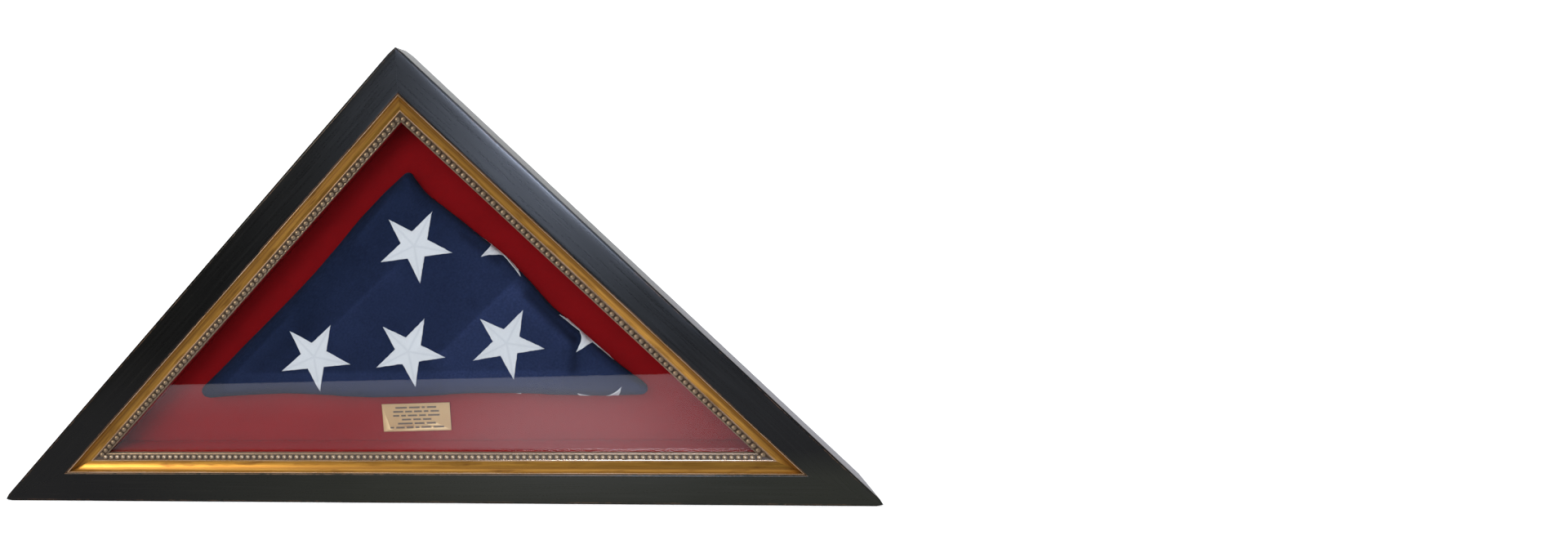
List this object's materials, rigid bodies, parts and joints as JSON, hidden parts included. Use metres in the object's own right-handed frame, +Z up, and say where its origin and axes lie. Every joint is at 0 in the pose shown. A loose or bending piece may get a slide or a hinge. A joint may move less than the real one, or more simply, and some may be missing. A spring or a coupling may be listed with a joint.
{
  "type": "folded flag display case",
  "caption": "Triangular glazed display case with black mitred rails, gilt cove and beaded inner edge, holding a folded flag and a small plaque on red cloth.",
  "frame": {"origin": "middle of the underside of the bottom rail", "axes": "+X to the viewer's right along the bottom rail, +Y from the glass towards the wall, +Z up towards the apex"},
  "size_m": [1.0994, 0.0865, 0.5498],
  "materials": {
    "black_lacquer": "black lacquer over bole, satin, rubbed through at the edges",
    "gold_leaf": "burnished metal leaf over red bole",
    "pewter_leaf": "antiqued pewter leaf",
    "glass": "clear float glass",
    "red_cloth": "matte woven cloth",
    "foam_board": "paper-faced foam board",
    "panel_board": "raw hardboard",
    "flag_cotton": "navy cotton bunting with white embroidered stars",
    "hook_tape": "hook and loop tape",
    "plaque_brass": "brushed, engraved with plain rules",
    "clear_tape": "foam adhesive tape",
    "zinc_steel": "zinc plated",
    "brassed_steel": "brass plated",
    "bumper_rubber": "matt"
  },
  "bodies": {
    "case": {"outer_rail_bottom": "black_lacquer", "outer_rail_left": "black_lacquer", "outer_rail_right": "black_lacquer", "gold_cove_bottom": "gold_leaf", "gold_cove_left": "gold_leaf", "gold_cove_right": "gold_leaf", "bead_fillet_bottom": "pewter_leaf", "bead_fillet_left": "pewter_leaf", "bead_fillet_right": "pewter_leaf", "glass": "glass", "side_liner_bottom": "red_cloth", "side_liner_left": "red_cloth", "side_liner_right": "red_cloth", "mount_cloth": "red_cloth", "mount_board": "foam_board", "back_panel": "panel_board", "folded_flag": "flag_cotton", "flag_pad_top": "hook_tape", "flag_pad_left": "hook_tape", "flag_pad_right": "hook_tape", "plaque": "plaque_brass", "plaque_tape": "clear_tape", "mitre_nail_left_1": "zinc_steel", "mitre_nail_left_2": "zinc_steel", "mitre_nail_apex_1": "zinc_steel", "mitre_nail_apex_2": "zinc_steel", "mitre_nail_right_1": "zinc_steel", "mitre_nail_right_2": "zinc_steel", "turn_button_screw_bottom_1": "brassed_steel", "turn_button_screw_bottom_2": "brassed_steel", "turn_button_screw_left_1": "brassed_steel", "turn_button_screw_left_2": "brassed_steel", "turn_button_screw_right_1": "brassed_steel", "turn_button_screw_right_2": "brassed_steel", "hanger_strap_left": "zinc_steel", "hanger_screw_left_1": "zinc_steel", "hanger_screw_left_2": "zinc_steel", "wall_bumper_left": "bumper_rubber", "hanger_strap_right": "zinc_steel", "hanger_screw_right_1": "zinc_steel", "hanger_screw_right_2": "zinc_steel", "wall_bumper_right": "bumper_rubber"},
    "turn_button_bottom_1": {"turn_button_bottom_1": "brassed_steel"},
    "turn_button_bottom_2": {"turn_button_bottom_2": "brassed_steel"},
    "turn_button_left_1": {"turn_button_left_1": "brassed_steel"},
    "turn_button_left_2": {"turn_button_left_2": "brassed_steel"},
    "turn_button_right_1": {"turn_button_right_1": "brassed_steel"},
    "turn_button_right_2": {"turn_button_right_2": "brassed_steel"},
    "d_ring_left": {"d_ring_left": "zinc_steel"},
    "d_ring_right": {"d_ring_right": "zinc_steel"}
  },
  "joints": [
    {"name": "turn_button_bottom_1_turn", "type": "hinge", "parent": "case", "child": "turn_button_bottom_1", "pos_m": [0.275, 0.0413, 0.041], "axis": [0, 1, 0], "continuous": true},
    {"name": "turn_button_bottom_2_turn", "type": "hinge", "parent": "case", "child": "turn_button_bottom_2", "pos_m": [-0.275, 0.0413, 0.041], "axis": [0, 1, 0], "continuous": true},
    {"name": "turn_button_left_1_turn", "type": "hinge", "parent": "case", "child": "turn_button_left_1", "pos_m": [-0.35601, 0.0413, 0.13601], "axis": [0, 1, 0], "continuous": true},
    {"name": "turn_button_left_2_turn", "type": "hinge", "parent": "case", "child": "turn_button_left_2", "pos_m": [-0.12501, 0.0413, 0.36701], "axis": [0, 1, 0], "continuous": true},
    {"name": "turn_button_right_1_turn", "type": "hinge", "parent": "case", "child": "turn_button_right_1", "pos_m": [0.12501, 0.0413, 0.36701], "axis": [0, 1, 0], "continuous": true},
    {"name": "turn_button_right_2_turn", "type": "hinge", "parent": "case", "child": "turn_button_right_2", "pos_m": [0.35601, 0.0413, 0.13601], "axis": [0, 1, 0], "continuous": true},
    {"name": "d_ring_left_swing", "type": "hinge", "parent": "case", "child": "d_ring_left", "pos_m": [-0.162, 0.0434, 0.33], "axis": [0, 0, 1], "range_deg": [-5, 160]},
    {"name": "d_ring_right_swing", "type": "hinge", "parent": "case", "child": "d_ring_right", "pos_m": [0.162, 0.0434, 0.33], "axis": [0, 0, -1], "range_deg": [-5, 160]}
  ]
}
